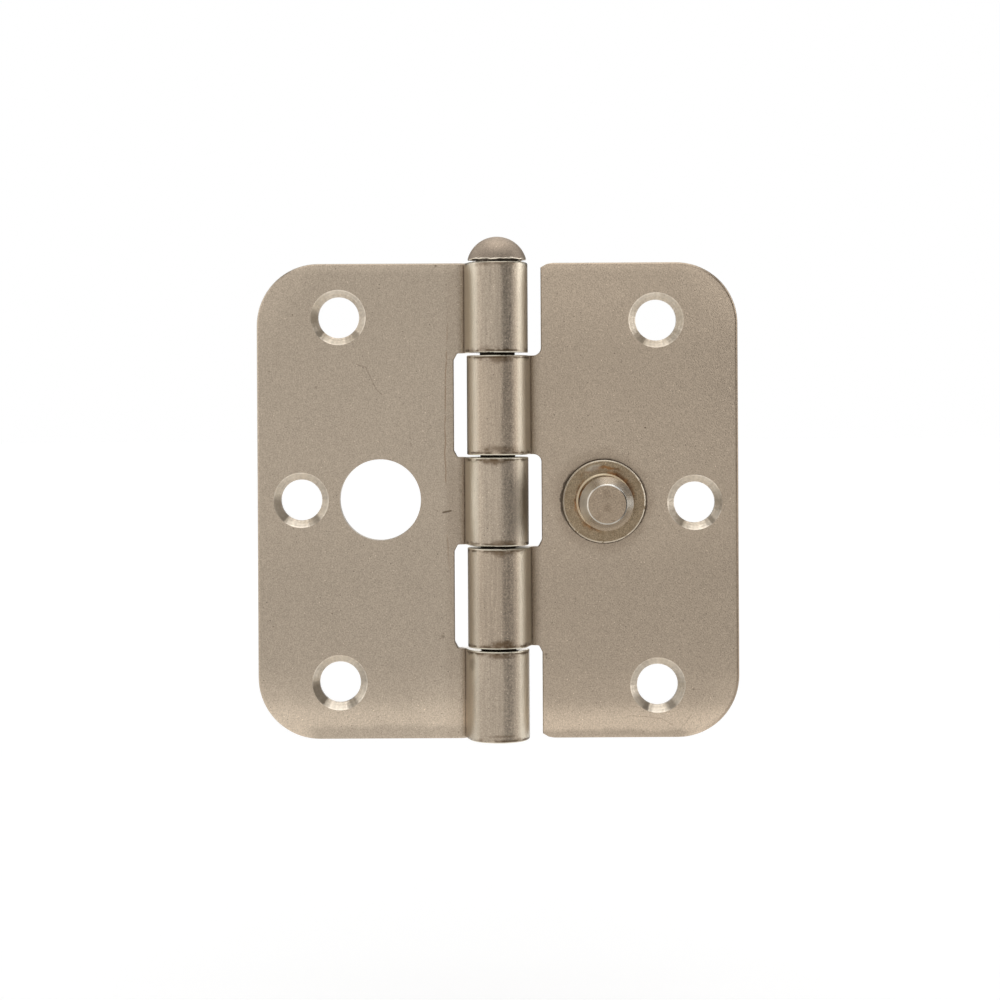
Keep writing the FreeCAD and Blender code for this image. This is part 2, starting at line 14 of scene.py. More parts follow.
import bpy
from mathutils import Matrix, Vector


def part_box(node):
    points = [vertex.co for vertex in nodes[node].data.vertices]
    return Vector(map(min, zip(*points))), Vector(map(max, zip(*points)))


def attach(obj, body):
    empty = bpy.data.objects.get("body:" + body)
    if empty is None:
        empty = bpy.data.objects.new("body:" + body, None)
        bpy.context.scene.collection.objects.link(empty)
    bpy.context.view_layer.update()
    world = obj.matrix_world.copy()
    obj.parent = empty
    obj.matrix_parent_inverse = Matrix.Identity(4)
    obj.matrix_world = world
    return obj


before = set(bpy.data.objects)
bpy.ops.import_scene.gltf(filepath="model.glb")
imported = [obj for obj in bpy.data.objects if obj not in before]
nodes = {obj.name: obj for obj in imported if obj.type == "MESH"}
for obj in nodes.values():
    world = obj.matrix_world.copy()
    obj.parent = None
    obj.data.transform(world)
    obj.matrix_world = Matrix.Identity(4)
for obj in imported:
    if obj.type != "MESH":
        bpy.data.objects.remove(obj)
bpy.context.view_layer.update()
MM = 0.001
print("pieces:", ", ".join(sorted(nodes)))

# %% [markdown]
# ## The camera
#
# A hinge this small is photographed with a long lens from about 40 cm. One could choose a lens by feel and
# move the camera until the outline fits. But the distance can be read from the picture, which is surer: the
# knuckles stand nearer to the lens than the leaves, so they come out a little larger and, below the height of
# the eye, a little lower than the ends of the notches beside them. They agree again at the height of the eye.
# The focal length follows from that distance, and a small shift places the hinge in the frame without tilting
# the view.

# %% Place the camera
SENSOR = 36.0
CAMERA_DISTANCE = 410 * MM
CAMERA_ROLL = math.radians(0.3)
LEAF_FRONT = 1.0 * MM
# columns and rows of the photograph, in pixels
IMAGE_SIDE = 1000
PIXELS_PER_MM = 5.372
OPTICAL_AXIS = (497.9, 398.0)
PIN_COLUMN = 497.5
LEAF_TOP_ROW = 262.9

leaf_low, leaf_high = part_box("door_leaf")
eye_height = leaf_high.z - (OPTICAL_AXIS[1] - LEAF_TOP_ROW) / PIXELS_PER_MM * MM
eye_side = (OPTICAL_AXIS[0] - PIN_COLUMN) / PIXELS_PER_MM * MM

camera_data = bpy.data.cameras.new("camera")
camera_data.sensor_width = SENSOR
camera_data.lens = PIXELS_PER_MM / MM * CAMERA_DISTANCE / IMAGE_SIDE * SENSOR
camera_data.shift_x = 0.5 - OPTICAL_AXIS[0] / IMAGE_SIDE
camera_data.shift_y = OPTICAL_AXIS[1] / IMAGE_SIDE - 0.5
camera = bpy.data.objects.new("camera", camera_data)
bpy.context.scene.collection.objects.link(camera)
camera.location = (eye_side, LEAF_FRONT - CAMERA_DISTANCE, eye_height)
camera.rotation_euler = (math.radians(90), CAMERA_ROLL, 0)
bpy.context.scene.camera = camera
print(f"lens {camera_data.lens:.1f} mm, eye at {eye_height / MM:.1f} mm above the leaves' lower edge")

# %% [markdown]
# ## White surroundings
#
# The photograph shows the hinge on pure white. A world as bright as that would also flood the metal from all
# sides and wash out its bands of light. So the world is white only where the camera or a reflection looks at
# it, and fills in with less light than it shows.

# %% Light the world
bpy.context.scene.view_settings.view_transform = "Standard"
WHITE = (1.0, 1.0, 1.0, 1.0)
FILL_LIGHT = 0.75


def seen_directly(tree):
    """1 where the camera, a mirror or glass looks, 0 for light that only fills."""
    rays = tree.nodes.new("ShaderNodeLightPath")
    first = tree.nodes.new("ShaderNodeMath")
    second = tree.nodes.new("ShaderNodeMath")
    first.operation = second.operation = "MAXIMUM"
    tree.links.new(rays.outputs["Is Camera Ray"], first.inputs[0])
    tree.links.new(rays.outputs["Is Glossy Ray"], first.inputs[1])
    tree.links.new(first.outputs[0], second.inputs[0])
    tree.links.new(rays.outputs["Is Transmission Ray"], second.inputs[1])
    return second.outputs[0]


world = bpy.data.worlds.new("studio")
bpy.context.scene.world = world
world.use_nodes = True
sky = world.node_tree
background = sky.nodes["Background"]
background.inputs["Color"].default_value = WHITE
strength = sky.nodes.new("ShaderNodeMapRange")
strength.inputs["To Min"].default_value = FILL_LIGHT
strength.inputs["To Max"].default_value = 1.0
sky.links.new(seen_directly(sky), strength.inputs["Value"])
sky.links.new(strength.outputs[0], background.inputs["Strength"])
print(f"world: 1.0 where it is seen, {FILL_LIGHT} where it only fills")

# %% [markdown]
# ## Soft boxes and dark cards
#
# Metal shows hardly any light of its own: it shows what stands around it. The bands along the knuckles are
# reflections of a window-like panel on the left, a narrow strip on the right, and the dark card between that
# strip and the camera. A strip overhead lights the lower half of each countersink. One picture of a studio,
# wrapped around the scene, could give such bands too. Separate lamps and cards are easier to learn from,
# because each one can be moved until its own band sits where the photograph has it.

# %% Aim things at the hinge
centre = Vector((0, 0, (leaf_low.z + leaf_high.z) / 2))


def direction(azimuth, elevation):
    """Unit vector from the hinge. Azimuth 0 is toward the camera and 90 toward the door leaf's side."""
    a, e = math.radians(azimuth), math.radians(elevation)
    return Vector((math.sin(a) * math.cos(e), -math.cos(a) * math.cos(e), math.sin(e)))


def aim(thing, azimuth, elevation, distance):
    """Place a thing on a sphere around the hinge so that its face looks at the hinge."""
    thing.location = centre + direction(azimuth, elevation) * distance
    thing.rotation_euler = direction(azimuth, elevation).to_track_quat("Z", "Y").to_euler()


print(f"lamps and cards look at a point {centre.z / MM:.1f} mm up the pin")


# %% Soft boxes
def panel(name, azimuth, elevation, distance, width, height, radiance):
    """A soft box: an area light that adds this much to what the metal mirrors there."""
    lamp = bpy.data.lights.new(name, "AREA")
    lamp.shape = "RECTANGLE"
    lamp.size = width
    lamp.size_y = height
    lamp.energy = radiance * math.pi * width * height
    light = bpy.data.objects.new(name, lamp)
    bpy.context.scene.collection.objects.link(light)
    aim(light, azimuth, elevation, distance)
    print(f"{name}: {lamp.energy:.2f} W")


# azimuth and elevation in degrees, then distance, width and height in metres, and how bright
panel("left_window", -98, 0, 0.9, 1.05, 1.4, 0.6)
panel("right_strip", 94, 0, 0.9, 0.5, 1.4, 1.6)
panel("top_strip", 0, 90, 0.9, 0.8, 0.9, 0.6)


# %% Dark cards
def rectangle(name, half_width, half_height, z=0.0):
    """A flat mesh with one face, linked into the scene."""
    corners = [(x * half_width, y * half_height, z) for x, y in ((-1, -1), (1, -1), (1, 1), (-1, 1))]
    mesh = bpy.data.meshes.new(name)
    mesh.from_pydata(corners, [], [(0, 1, 2, 3)])
    thing = bpy.data.objects.new(name, mesh)
    bpy.context.scene.collection.objects.link(thing)
    return thing


def card(name, azimuth, elevation, distance, width, height, tone):
    """A dark card that only the metal sees."""
    thing = rectangle(name, width / 2, height / 2)
    aim(thing, azimuth, elevation, distance)
    felt = bpy.data.materials.new(name)
    felt.use_nodes = True
    felt.node_tree.nodes.clear()
    glow = felt.node_tree.nodes.new("ShaderNodeEmission")
    glow.inputs["Color"].default_value = (tone, tone, tone, 1)
    output = felt.node_tree.nodes.new("ShaderNodeOutputMaterial")
    felt.node_tree.links.new(glow.outputs[0], output.inputs["Surface"])
    thing.data.materials.append(felt)
    thing.visible_camera = False
    thing.visible_diffuse = False
    thing.visible_shadow = False
    print(f"{name}: {width} by {height} m, tone {tone}")


# azimuth and elevation in degrees, then distance, width and height in metres, and how pale
card("right_card", 37, 0, 0.8, 0.48, 1.4, 0.04)
card("back_card_right", 146, 0, 0.9, 0.55, 1.6, 0.05)
card("back_card_left", -154, 0, 0.9, 0.5, 1.6, 0.05)
card("upper_card_right", 90, 52, 0.8, 0.5, 0.26, 0.3)
card("upper_card_left", -90, 55, 0.8, 0.5, 0.22, 0.3)

# %% [markdown]
# ## The floor
#
# Nothing but white lies behind the real hinge. A pale floor a little below it keeps that, crosses the hinge
# in no view and takes a soft shadow. A floor that glows on its own is white everywhere, but the lamps light
# it more near the hinge than far away, and there the faint shadow would drown in white. So its glow is dimmed
# near the hinge by as much as the lamps add, and only for the camera.

# %% Lay the floor
FLOOR_DROP = 60 * MM
FLOOR_HALF = 6.0
PAPER = (0.86, 0.86, 0.86, 1)
floor = rectangle("floor", FLOOR_HALF, FLOOR_HALF, -FLOOR_DROP)
paper = bpy.data.materials.new("floor_paper")
paper.use_nodes = True
sheet = paper.node_tree
sheet_shader = sheet.nodes["Principled BSDF"]
sheet_shader.inputs["Base Color"].default_value = PAPER
sheet_shader.inputs["Roughness"].default_value = 0.9
sheet_shader.inputs["Emission Color"].default_value = WHITE
floor.data.materials.append(paper)
print(f"floor: {2 * FLOOR_HALF:.0f} m square, {FLOOR_DROP / MM:.0f} mm below the leaves")

# %% Let it glow, but keep the shadow
FLOOR_GLOW = 0.345
LAMP_REACH = (1.2, 0.2)
LAMP_SHARE = 0.153
glow_level = sheet.nodes.new("ShaderNodeMath")
glow_level.operation = "MULTIPLY"
glow_level.inputs[1].default_value = FLOOR_GLOW
sheet.links.new(seen_directly(sheet), glow_level.inputs[0])
floor_place = sheet.nodes.new("ShaderNodeTexCoord")
floor_distance = sheet.nodes.new("ShaderNodeVectorMath")
floor_distance.operation = "LENGTH"
sheet.links.new(floor_place.outputs["Object"], floor_distance.inputs[0])
near_lamps = sheet.nodes.new("ShaderNodeMapRange")
near_lamps.interpolation_type = "SMOOTHSTEP"
sheet.links.new(floor_distance.outputs["Value"], near_lamps.inputs["Value"])
near_lamps.inputs["From Min"].default_value, near_lamps.inputs["From Max"].default_value = LAMP_REACH
near_lamps.inputs["To Min"].default_value = 0.0
near_lamps.inputs["To Max"].default_value = -LAMP_SHARE
camera_ray = sheet.nodes.new("ShaderNodeLightPath").outputs["Is Camera Ray"]
dimmed_glow = sheet.nodes.new("ShaderNodeMath")
dimmed_glow.operation = "MULTIPLY_ADD"
sheet.links.new(camera_ray, dimmed_glow.inputs[0])
sheet.links.new(near_lamps.outputs[0], dimmed_glow.inputs[1])
sheet.links.new(glow_level.outputs[0], dimmed_glow.inputs[2])
sheet.links.new(dimmed_glow.outputs[0], sheet_shader.inputs["Emission Strength"])
print(f"floor glow: {FLOOR_GLOW} far away, {FLOOR_GLOW - LAMP_SHARE:.3f} under the hinge")

# %% [markdown]
# ## Finishes written as formulas
#
# The same steel looks different from place to place on the real hinge: rubbed on the barrel, brown where
# knuckles meet, bright where a cutter passed. One could paint such finishes as pictures and wrap them around
# the pieces. Here they are worked out from the place on the hinge, in millimetres, and from noise. That needs
# no unwrapping, has no seams and stays sharp up close, and a mark is moved by changing its number.
#
# A `Formula` is a number or colour that the material computes at every point. Arithmetic on formulas adds
# math nodes, so `smooth(z, 2, 4)` is a soft step across the hinge and `stripe(z, 3, 1)` a soft line.

# %% A value for every point


class Formula:
    """A value that a material works out at every point."""

    def __init__(self, tree, socket):
        self.tree = tree
        self.socket = socket

    def math(self, operation, *others):
        node = self.tree.nodes.new("ShaderNodeMath")
        node.operation = operation
        for slot, term in enumerate((self, *others)):
            plug(term, node.inputs[slot])
        return Formula(self.tree, node.outputs[0])

    def __add__(self, other):
        return self.math("ADD", other)

    def __sub__(self, other):
        return self.math("SUBTRACT", other)

    def __mul__(self, other):
        return self.math("MULTIPLY", other)

    def __truediv__(self, other):
        return self.math("DIVIDE", other)

    def __rsub__(self, other):
        return self.math("MULTIPLY_ADD", -1.0, other)

    def __abs__(self):
        return self.math("ABSOLUTE")

    __radd__ = __add__
    __rmul__ = __mul__


def plug(term, socket):
    """Feed a socket with a formula, or set it to a plain number or colour."""
    if isinstance(term, Formula):
        term.tree.links.new(term.socket, socket)
    else:
        socket.default_value = term


print("formulas: + - * / and abs(), or any math node by its name")

# %% Soft steps and lines
SOLID_CORE = 0.3


def smooth(value, low, high):
    """0 at low and 1 at high, with soft ends. Low may be the larger one."""
    node = value.tree.nodes.new("ShaderNodeMapRange")
    node.interpolation_type = "SMOOTHSTEP"
    plug(value, node.inputs["Value"])
    node.inputs["From Min"].default_value = low
    node.inputs["From Max"].default_value = high
    return Formula(value.tree, node.outputs[0])


def stripe(value, middle, reach):
    """1 along the middle, fading to 0 at this reach to both sides."""
    return smooth(abs(value - middle), reach, reach * SOLID_CORE)


print(f"a stripe is full over {SOLID_CORE:.0%} of its reach")

# %% Noise and specks


def noise(place, scale, detail=2.0):
    """Cloudy noise from 0 to 1, this many waves to the millimetre."""
    tree = place.tree
    node = tree.nodes.new("ShaderNodeTexNoise")
    plug(place, node.inputs["Vector"])
    node.inputs["Scale"].default_value = scale
    node.inputs["Detail"].default_value = detail
    return Formula(tree, node.outputs["Fac"])


def wobble(place, scale, detail=2.0):
    """The same noise around 0, from -0.5 to 0.5."""
    return noise(place, scale, detail) - 0.5


def specks(place, scale, share, size):
    """Scattered round specks: the share of cells that hold one, and its size as a part of the cell."""
    tree = place.tree
    node = tree.nodes.new("ShaderNodeTexVoronoi")
    plug(place, node.inputs["Vector"])
    node.inputs["Scale"].default_value = scale
    split = tree.nodes.new("ShaderNodeSeparateColor")
    tree.links.new(node.outputs["Color"], split.inputs[0])
    chosen = smooth(Formula(tree, split.outputs[0]), 1 - share, 1 - share * 0.8)
    return chosen * smooth(Formula(tree, node.outputs["Distance"]), size, size * SOLID_CORE)


def stretched(place, x, y, z):
    """The place scaled by its own factor along each axis, for streaks."""
    node = place.tree.nodes.new("ShaderNodeVectorMath")
    node.operation = "MULTIPLY"
    plug(place, node.inputs[0])
    node.inputs[1].default_value = (x, y, z)
    return Formula(place.tree, node.outputs[0])


print("noise for clouds and streaks, cells for specks")

# %% Mixing colours


def dimmed(colour, factor):
    """A colour times a number."""
    node = factor.tree.nodes.new("ShaderNodeVectorMath")
    node.operation = "SCALE"
    plug(colour, node.inputs[0])
    plug(factor, node.inputs["Scale"])
    return Formula(factor.tree, node.outputs[0])


def blend(factor, below, above):
    """The lower colour, covered by the upper one as far as the factor says."""
    node = factor.tree.nodes.new("ShaderNodeMix")
    node.data_type = "RGBA"
    plug(factor, node.inputs[0])
    for socket, colour in ((node.inputs[6], below), (node.inputs[7], above)):
        plug(colour if isinstance(colour, Formula) else (*colour, 1), socket)
    return Formula(factor.tree, node.outputs[2])


print("colours are dimmed by a number or blended one over the other")

# %% A metal finish


class Finish:
    """A metal finish, with the place on the hinge in millimetres ready for its formulas."""

    def __init__(self, name):
        self.material = bpy.data.materials.new(name)
        self.material.use_nodes = True
        self.tree = self.material.node_tree
        self.shader = self.tree.nodes["Principled BSDF"]
        self.shader.inputs["Metallic"].default_value = 1.0
        position = self.tree.nodes.new("ShaderNodeTexCoord")
        scaled = self.tree.nodes.new("ShaderNodeVectorMath")
        scaled.operation = "SCALE"
        self.tree.links.new(position.outputs["Object"], scaled.inputs[0])
        scaled.inputs["Scale"].default_value = 1 / MM
        self.place = Formula(self.tree, scaled.outputs[0])
        self.x, self.y, self.z = self.split(self.place)
        self.normal = self.split(Formula(self.tree, position.outputs["Normal"]))

    def split(self, vector):
        node = self.tree.nodes.new("ShaderNodeSeparateXYZ")
        plug(vector, node.inputs[0])
        return [Formula(self.tree, output) for output in node.outputs]

    def radius(self, x, z):
        """Distance from an axis that runs straight through the leaf."""
        across, up = self.x - x, self.z - z
        return (across * across + up * up).math("SQRT")

    def clock(self, x, z):
        """Angle around such an axis in degrees, clockwise from 12 o'clock for the camera, -180 to 180."""
        return (self.x - x).math("ARCTAN2", self.z - z) * math.degrees(1)

    def finish(self, colour, roughness, relief):
        """Plug colour, roughness and the relief, a height in millimetres, into the shader."""
        plug(colour, self.shader.inputs["Base Color"])
        plug(roughness, self.shader.inputs["Roughness"])
        bump = self.tree.nodes.new("ShaderNodeBump")
        bump.inputs["Strength"].default_value = 1.0
        bump.inputs["Distance"].default_value = MM
        plug(relief, bump.inputs["Height"])
        self.tree.links.new(bump.outputs[0], self.shader.inputs["Normal"])
        print(f"{self.material.name}: {len(self.tree.nodes)} nodes")
        return self.material


print("a finish knows x, y and z in millimetres, and which way a face looks")

# %% [markdown]
# ## Tumbled grain
#
# The stamped leaves, the pin and the collar were tumbled among abrasive stones. That leaves a fine grain that
# sparkles a little. A relief of noise alone would look like orange peel, and a picture of such steel would
# repeat itself. So noise of two sizes goes into the colour as well as into a very shallow relief, with bright
# specks and dark pits scattered over it.

# %% Grain
GRAIN_WAVES = 4.2


def grain(finish, depth=1.0):
    """The tumbled speckle as a factor around 1, and its relief in millimetres."""
    fine = wobble(finish.place, GRAIN_WAVES, 1.0)
    coarse = wobble(finish.place, 1.3)
    cloud = wobble(finish.place, 0.07)
    sparkle = specks(finish.place, 1.8, 0.10, 0.22)
    pits = specks(stretched(finish.place, 1.0, 1.0, 1.07), 1.6, 0.09, 0.21)
    tone = 1.0 + (fine * 0.85 + coarse * 0.14 + sparkle * 0.85 - pits * 0.55) * depth + cloud * 0.10
    relief = fine * 0.05 + sparkle * 0.03 - pits * 0.04
    return tone, relief


print(f"grain: waves of {1 / GRAIN_WAVES:.2f} mm")

# %% [markdown]
# ## The parts of a leaf
#
# A leaf is one piece of sheet: flat behind, rolled into a barrel in front, with rounded corners. Each of
# these areas has a look of its own. They could be given materials face by face, but then every border would
# be hard. So they are soft masks, worked out from the place: how far off the pin, how far forward, and how
# far from an edge.

# %% Masks on a leaf
MID_HEIGHT = 44.25
CORNER_RADIUS = 11.5
CORNER_REACH = 33.3


def nearest_height(finish, heights):
    """Distance up or down to the nearest of these heights."""
    distance = abs(finish.z - heights[0])
    for height in heights[1:]:
        distance = distance.math("MINIMUM", abs(finish.z - height))
    return distance


def edge_distance(finish):
    """Distance from the leaf's outer edge, measured round both corners."""
    across = (abs(finish.x) - CORNER_REACH).math("MAXIMUM", 0.0)
    off_middle = (abs(finish.z - MID_HEIGHT) - (MID_HEIGHT - CORNER_RADIUS)).math("MAXIMUM", 0.0)
    return CORNER_RADIUS - (across * across + off_middle * off_middle).math("SQRT")


class LeafFinish(Finish):
    """A finish that also knows the parts of a leaf. The knuckle ends are heights in millimetres."""

    def __init__(self, name, knuckle_ends):
        super().__init__(name)
        self.off_axis = abs(self.x)
        self.on_barrel = smooth(self.y, 0.3, -0.3)
        self.front = smooth(self.y, 2.6, 2.0)
        self.end_distance = nearest_height(self, knuckle_ends)
        self.ragged = wobble(self.place, 0.9, 3.0) * 0.8
        # the right flank of the middle knuckle, which takes painted shade, and the place that mirrors the dark
        # card
        self.shaded_flank = smooth(self.x, 1.2, 3.4) * stripe(self.z, 43.4, 9.0) * self.on_barrel
        self.dark_band = stripe(self.x, 1.9, 1.5) * self.on_barrel


print(f"leaf: corners of {CORNER_RADIUS} mm, middle at {MID_HEIGHT} mm")

# %% [markdown]
# ## Broad light on the flat leaf
#
# In the photograph each leaf is palest in a band just above its lower edge, and a little dimmer below its
# middle. That comes from how the real hinge was lit. More lamps and cards could give it, but each of them
# would also move the bands on the knuckles. So it is drawn as a soft change of brightness on the leaves'
# fronts.

# %% Light on the sheet


def lit_sheet(finish, tone, wide, strong, band, crown, shade):
    """The tone with a wide glow below, a strong one up to the band, a crown above and a shade between."""
    height = finish.z + wobble(finish.place, 0.3) * 1.6
    sheet = (1.0 - finish.on_barrel) * finish.front
    corner = smooth(finish.off_axis, CORNER_REACH, CORNER_REACH + 4.0)
    foot = smooth(height, band - 2.0, band - 3.2) * (1.0 - corner)
    glow = smooth(height, 14.0, 8.0) * wide + (smooth(height, band + 3.8, band - 1.0) - foot * 0.86) * strong
    at_corner = corner * smooth(abs(finish.z - MID_HEIGHT), 29.0, 37.0)
    glow = glow + smooth(edge_distance(finish), 7.0, 1.0) * at_corner * 0.12
    near_barrel = smooth(finish.x, -18.0, -9.0) * smooth(finish.x, 0.0, -1.0)
    glow = glow + smooth(height, 15.0, 9.0) * near_barrel * 0.09
    top_glow = smooth(height, 70.0, 85.0) * crown + smooth(finish.z, 86.3, 88.0) * 0.16
    bright_specks = specks(finish.place, 2.3, 0.20, 0.24) * smooth(height, 16.0, 4.0) * sheet
    below_middle = smooth(finish.z, 44.0, 28.0) * finish.front
    return (tone + bright_specks * 0.45) * (1.0 + (glow + top_glow) * sheet) * (1.0 - below_middle * shade)


FRAME_LIGHT = {"wide": 0.10, "strong": 0.34, "band": 5.0, "crown": 0.0, "shade": 0.07}
DOOR_LIGHT = {"wide": 0.08, "strong": 0.46, "band": 4.0, "crown": 0.12, "shade": 0.10}
print(f"strong light up to {FRAME_LIGHT['band']} mm on the left leaf, {DOOR_LIGHT['band']} mm on the right")

# %% [markdown]
# ## The rolled barrel
#
# Rolling drags fine streaks along the pin's direction. Where the dark card is mirrored, the real barrel shows
# a dark band that small glints break up. The mirror image alone would be too clean a band. So the tone is
# streaked, and the band gets painted shade, painted glints and a painted mottle. The knuckles' flanks get a
# painted highlight, a brighter steel blended over them, with painted shade on the middle knuckle's right flank
# and less highlight low on the left.

# %% Wear on the barrel
# bright bare steel for the sheared sides, and the colour of the painted highlights on the barrel's flanks and
# the knuckles' rims
BARE_EDGE_AND_HIGHLIGHT = (0.80, 0.75, 0.62)


def barrel_streaks_and_shade(finish, tone):
    """The tone with streaks, painted shade on the middle knuckle's right flank, and painted shade and painted
    glints on the mirrored dark band.
    """
    streaks = wobble(stretched(finish.place, 2.4, 2.4, 0.10), 1.0, 3.0)
    tone = tone * (1.0 + streaks * finish.on_barrel * 0.50)
    # painted shade on the right flank of the middle knuckle
    tone = tone * (1.0 - finish.shaded_flank * 0.42)
    glints = specks(finish.place, 3.2, 0.14, 0.34)
    band_mottle = wobble(stretched(finish.place, 1.0, 1.0, 0.8), 2.6, 1.0)
    # painted shade darkens the mirrored dark band, and painted glints and a painted mottle break it up
    return tone * (1.0 + finish.dark_band * (glints * 0.6 + band_mottle * 0.7 - 0.22))


def flank_highlights(finish, painted):
    """A painted highlight on the flanks beside the valleys, weaker on the middle knuckle's right flank and low
    on the left.
    """
    off_axis = finish.off_axis
    flank = smooth(off_axis, 3.2, 4.6) * smooth(off_axis, 6.6, 5.8) * smooth(finish.y, 1.0, 0.0)
    low_part = smooth(finish.z, 16.0, 7.0) * 0.45 + stripe(finish.z, 26.5, 14.0) * 0.40
    weaker_left = low_part * smooth(finish.x, 1.0, -1.0)
    return blend(flank * 0.51 * (1.0 - finish.shaded_flank * 0.5) * (1.0 - weaker_left), painted, BARE_EDGE_AND_HIGHLIGHT)


# the flanks named here carry a painted highlight
print("barrel: streaks along the pin, polished flanks")

# %% [markdown]
# ## Dirt and painted shade at the knuckles and in the valleys
#
# Where the knuckles meet, brown grime and a thin dark line that comes and goes darken the steel, partly oil
# and dust and partly painted shade. On the very edge a painted highlight makes a bright rim. The valleys
# beside the barrel get dirt and painted shade too. Even stripes would look painted on, so each distance is
# made ragged with noise before the stripe is taken from it.

# %% Dirt
DIRT = (0.085, 0.058, 0.035)
BROWN = (0.115, 0.074, 0.042)


def dirty_shaded_ends(finish, painted):
    """Grime and a thin dark line, partly dirt and partly painted shade, and a painted highlight on the rim at
    the knuckles' ends.
    """
    end_distance, on_barrel = finish.end_distance, finish.on_barrel
    patchy = smooth(noise(finish.place, 0.35), 0.38, 0.55)
    grime = smooth(end_distance + finish.ragged * 2.4, 1.15, 0.20) * patchy
    # brown grime, partly painted shade beside the knuckles' gaps
    painted = blend(grime * on_barrel * 0.60, painted, BROWN)
    below_head = smooth(finish.z, 87.6, 86.8)
    broken = smooth(noise(finish.place, 0.5, 1.0), 0.44, 0.56) * below_head
    dark_end_line = stripe(end_distance + finish.ragged * 0.35, 0.42, 0.30) * broken
    # a thin dark line near each end, partly oil and partly painted shade
    painted = blend(dark_end_line * on_barrel * 0.75, painted, DIRT)
    # a painted highlight on the very edge of each knuckle
    return blend(smooth(end_distance, 0.26, 0.14) * on_barrel * 0.75, painted, BARE_EDGE_AND_HIGHLIGHT)


def shaded_dirty_valleys(finish, painted, neck_dirt_and_shade):
    """Brown dirt and painted shade on the bent neck, as strong as the last argument says, and dark dirt and
    painted shade in the right valley.
    """
    bent = smooth(finish.y, 0.6, 0.9) * smooth(finish.y, 1.6, 1.2)
    neck = smooth(finish.off_axis + finish.ragged, 10.4, 8.6) * bent
    # painted shade and brown dirt on the bent neck
    painted = blend(neck * (0.10 + stripe(finish.z, 44.2, 12.0) * 0.10) * neck_dirt_and_shade, painted, BROWN)
    # painted shade in the crease between barrel and leaf, with dark dirt
    valley = smooth(finish.off_axis + finish.ragged * 0.5, 8.2, 6.8) * smooth(finish.x, 5.8, 6.7)
    valley = valley * smooth(finish.y, 3.2, 2.4)
    return blend(valley * (0.28 + stripe(finish.z, 27.0, 11.0) * 0.16), painted, DIRT)


print("dirt: at the knuckles' ends and in the valleys")

# %% [markdown]
# ## Cut edges
#
# The leaf was sheared out of the sheet and its knuckles were cut to length. A sheared side is paler and
# streaked through the thickness, and the knuckles' end faces are bright and smooth. Such faces could be
# picked one by one and given a material. It is simpler to ask which way a face looks: sideways on the sheared
# sides, up or down on the knuckles' ends.

# %% Edges
END_FACE = (0.75, 0.70, 0.62)


def cut_edges(finish, painted, relief):
    """The sheared sides and the knuckles' end faces, and then the finished material."""
    sheared = smooth(abs(finish.normal[1]), 0.5, 0.2) * smooth(finish.off_axis, 8.0, 8.4)
    shear_streaks = wobble(stretched(finish.place, 3.0, 0.4, 3.0), 1.0)
    painted = blend(sheared * 0.3, painted, BARE_EDGE_AND_HIGHLIGHT)
    knuckle_end = smooth(abs(finish.normal[2]), 0.90, 0.98) * smooth(finish.off_axis, 7.0, 6.0)
    painted = blend(knuckle_end, painted, END_FACE)
    outer_gap = smooth(abs(finish.z - MID_HEIGHT), 12.0, 20.0)
    roughness = 0.36 + wobble(finish.place, 0.8) * 0.12 - knuckle_end * outer_gap * 0.28
    relief = relief * (1.0 + finish.dark_band * 0.6)
    relief = (relief + shear_streaks * sheared * 0.05) * (1.0 - knuckle_end)
    return finish.finish(painted, roughness, relief)


print("end faces:", END_FACE)

# %% [markdown]
# ## Marks of this hinge
#
# Some marks belong to one leaf only: a thin brown line along the frame leaf's crank, scratches, pits, and
# oily blots in front of the knuckles' ends. Noise would put such marks anywhere. As they are the ones in the
# photograph, each gets its own place here, in millimetres, and its own size and depth.

# %% Helpers for marks


def scratch(finish, points, width):
    """A thin line over the leaf through the given places."""
    line = None
    for (x1, z1), (x2, z2) in zip(points, points[1:]):
        length = math.hypot(x2 - x1, z2 - z1)
        along = ((x2 - x1) / length, (z2 - z1) / length)
        across, up = finish.x - x1, finish.z - z1
        reach = (across * along[0] + up * along[1]).math("MAXIMUM", 0.0).math("MINIMUM", length)
        off_x, off_z = across - reach * along[0], up - reach * along[1]
        part = smooth((off_x * off_x + off_z * off_z).math("SQRT"), width, width * SOLID_CORE)
        line = part if line is None else line.math("MAXIMUM", part)
    return line


def pitted(finish, painted, places):
    """Small dark pits: x, z, radius and depth of each."""
    for x, z, size, depth in places:
        painted = blend(smooth(finish.radius(x, z), size, size * 0.4) * depth, painted, DIRT)
    return painted


def stained(finish, painted, places):
    """Cloudy brown blots on the front of the barrel: x, z, half width, half height and depth of each."""
    ragged = wobble(finish.place, 0.9, 3.0) * 1.1
    in_front = smooth(finish.y, -1.0, -3.0)
    for x, z, wide, tall, depth in places:
        across, up = (finish.x - x) / wide, (finish.z - z) / tall
        blot = smooth((across * across + up * up).math("SQRT") + ragged, 1.0, 0.2)
        painted = blend(blot * in_front * depth, painted, BROWN)
    return painted


print("marks: scratches, pits and stains")

# %% All layers of a leaf


def leaf_steel(name, colour, knuckle_ends, light, neck_dirt_and_shade, marks):
    """A leaf's whole finish, from the grain up. Its own marks show only on the front."""
    finish = LeafFinish(name, knuckle_ends)
    tone, relief = grain(finish)
    tone = barrel_streaks_and_shade(finish, lit_sheet(finish, tone, **light))
    painted = flank_highlights(finish, dimmed(colour, tone))
    painted = shaded_dirty_valleys(finish, dirty_shaded_ends(finish, painted), neck_dirt_and_shade)
    painted = blend(finish.front, painted, marks(finish, painted))
    return cut_edges(finish, painted, relief)


# the polished flanks are painted highlights, and the dirt includes painted shade
print("a leaf: grain, light, wear, polished flanks, dirt, marks, edges")

